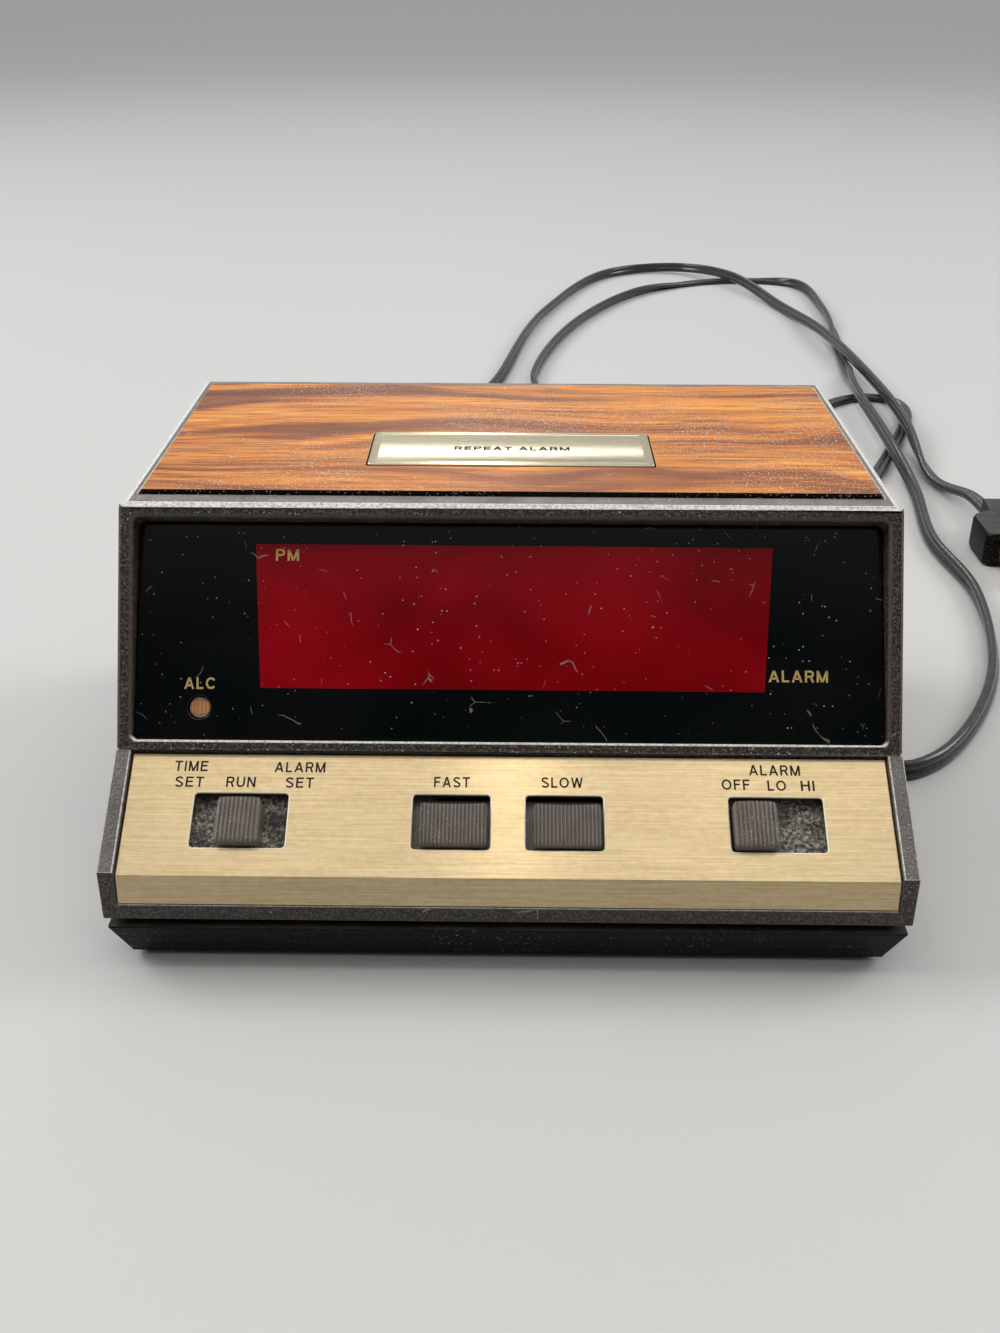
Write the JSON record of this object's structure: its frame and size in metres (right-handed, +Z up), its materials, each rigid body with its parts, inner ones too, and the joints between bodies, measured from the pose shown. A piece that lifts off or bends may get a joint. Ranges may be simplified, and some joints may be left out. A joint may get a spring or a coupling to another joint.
{
  "type": "digital alarm clock",
  "caption": "Wedge-shaped mains alarm clock with a wood-grain top, a push bar, a recessed dark display lens, a bent metal control panel with slide knobs and buttons, and a flat cord.",
  "frame": {"origin": "on the table under the centre of the clock's bounding box, cord left out", "axes": "+X to the clock's right seen from its front, +Y to its back, +Z up"},
  "size_m": [0.266, 0.6591, 0.0854],
  "materials": {
    "brown_plastic": "moulded dark brown ABS, fine spark texture",
    "knob_plastic": "moulded dark brown, ribbed caps",
    "black_plastic": "moulded black",
    "black_rubber": "matt rubber",
    "wood_laminate": "walnut-grain laminate, satin",
    "gold_metal": "pale gold anodised, brushed along X",
    "lens_acrylic": "black printed acrylic with a deep red window, glossy",
    "cord_vinyl": "dark grey vinyl, semi-gloss",
    "steel": "zinc-plated",
    "brass": "bright",
    "copper_wire": "enamelled copper winding",
    "circuit_board": "phenolic board",
    "digit_plastic": "tinted light pipes",
    "led_red": "clear red",
    "ceramic": "off-white",
    "speaker_paper": "pressed paper",
    "sleeve_blue": "shrink sleeve"
  },
  "bodies": {
    "cabinet": {"upper_housing": "brown_plastic", "base_plate": "black_plastic", "repeat_bracket": "black_plastic", "repeat_switch": "black_plastic", "light_shield": "black_plastic", "fast_switch": "black_plastic", "slow_switch": "black_plastic", "clock_chip": "black_plastic", "driver_chip": "black_plastic", "speaker_magnet": "black_plastic", "plug_body": "black_plastic", "foot_1": "black_rubber", "foot_2": "black_rubber", "foot_3": "black_rubber", "foot_4": "black_rubber", "strain_relief": "black_rubber", "wood_top_panel": "wood_laminate", "control_fascia": "gold_metal", "display_lens": "lens_acrylic", "power_cord": "cord_vinyl", "base_screw_1": "steel", "base_screw_2": "steel", "base_screw_3": "steel", "base_screw_4": "steel", "repeat_spring": "steel", "mode_switch": "steel", "alarm_switch": "steel", "transformer_core": "steel", "transformer_strap": "steel", "speaker_frame": "steel", "plug_blade_1": "brass", "plug_blade_2": "brass", "transformer_coil": "copper_wire", "display_board": "circuit_board", "control_board": "circuit_board", "main_board": "circuit_board", "digit_1": "digit_plastic", "digit_2": "digit_plastic", "digit_3": "digit_plastic", "digit_4": "digit_plastic", "colon_led": "led_red", "pm_lamp": "led_red", "alarm_lamp": "led_red", "photocell": "ceramic", "speaker_cone": "speaker_paper", "filter_capacitor": "sleeve_blue"},
    "repeat_bar_body": {"repeat_bar": "black_plastic", "repeat_bar_plate": "gold_metal", "repeat_plunger": "ceramic"},
    "mode_knob_body": {"mode_knob": "knob_plastic", "mode_lever": "black_plastic"},
    "alarm_knob_body": {"alarm_knob": "knob_plastic", "alarm_lever": "black_plastic"},
    "fast_button_body": {"fast_button": "knob_plastic", "fast_plunger": "ceramic"},
    "slow_button_body": {"slow_button": "knob_plastic", "slow_plunger": "ceramic"}
  },
  "joints": [
    {"name": "repeat_press", "type": "slide", "parent": "cabinet", "child": "repeat_bar_body", "axis": [0, 0, -1], "range_m": [0, 0.0015], "stiffness_N_per_m": 400, "springref_m": -0.002, "deforming": ["repeat_spring"]},
    {"name": "mode_slide", "type": "slide", "parent": "cabinet", "child": "mode_knob_body", "axis": [1, 0, 0], "range_m": [-0.00465, 0.00465]},
    {"name": "alarm_slide", "type": "slide", "parent": "cabinet", "child": "alarm_knob_body", "axis": [1, 0, 0], "range_m": [0, 0.0093]},
    {"name": "fast_press", "type": "slide", "parent": "cabinet", "child": "fast_button_body", "axis": [0, 0.5409, -0.8411], "range_m": [0, 0.0012], "stiffness_N_per_m": 300, "springref_m": -0.001},
    {"name": "slow_press", "type": "slide", "parent": "cabinet", "child": "slow_button_body", "axis": [0, 0.5409, -0.8411], "range_m": [0, 0.0012], "stiffness_N_per_m": 300, "springref_m": -0.001}
  ]
}
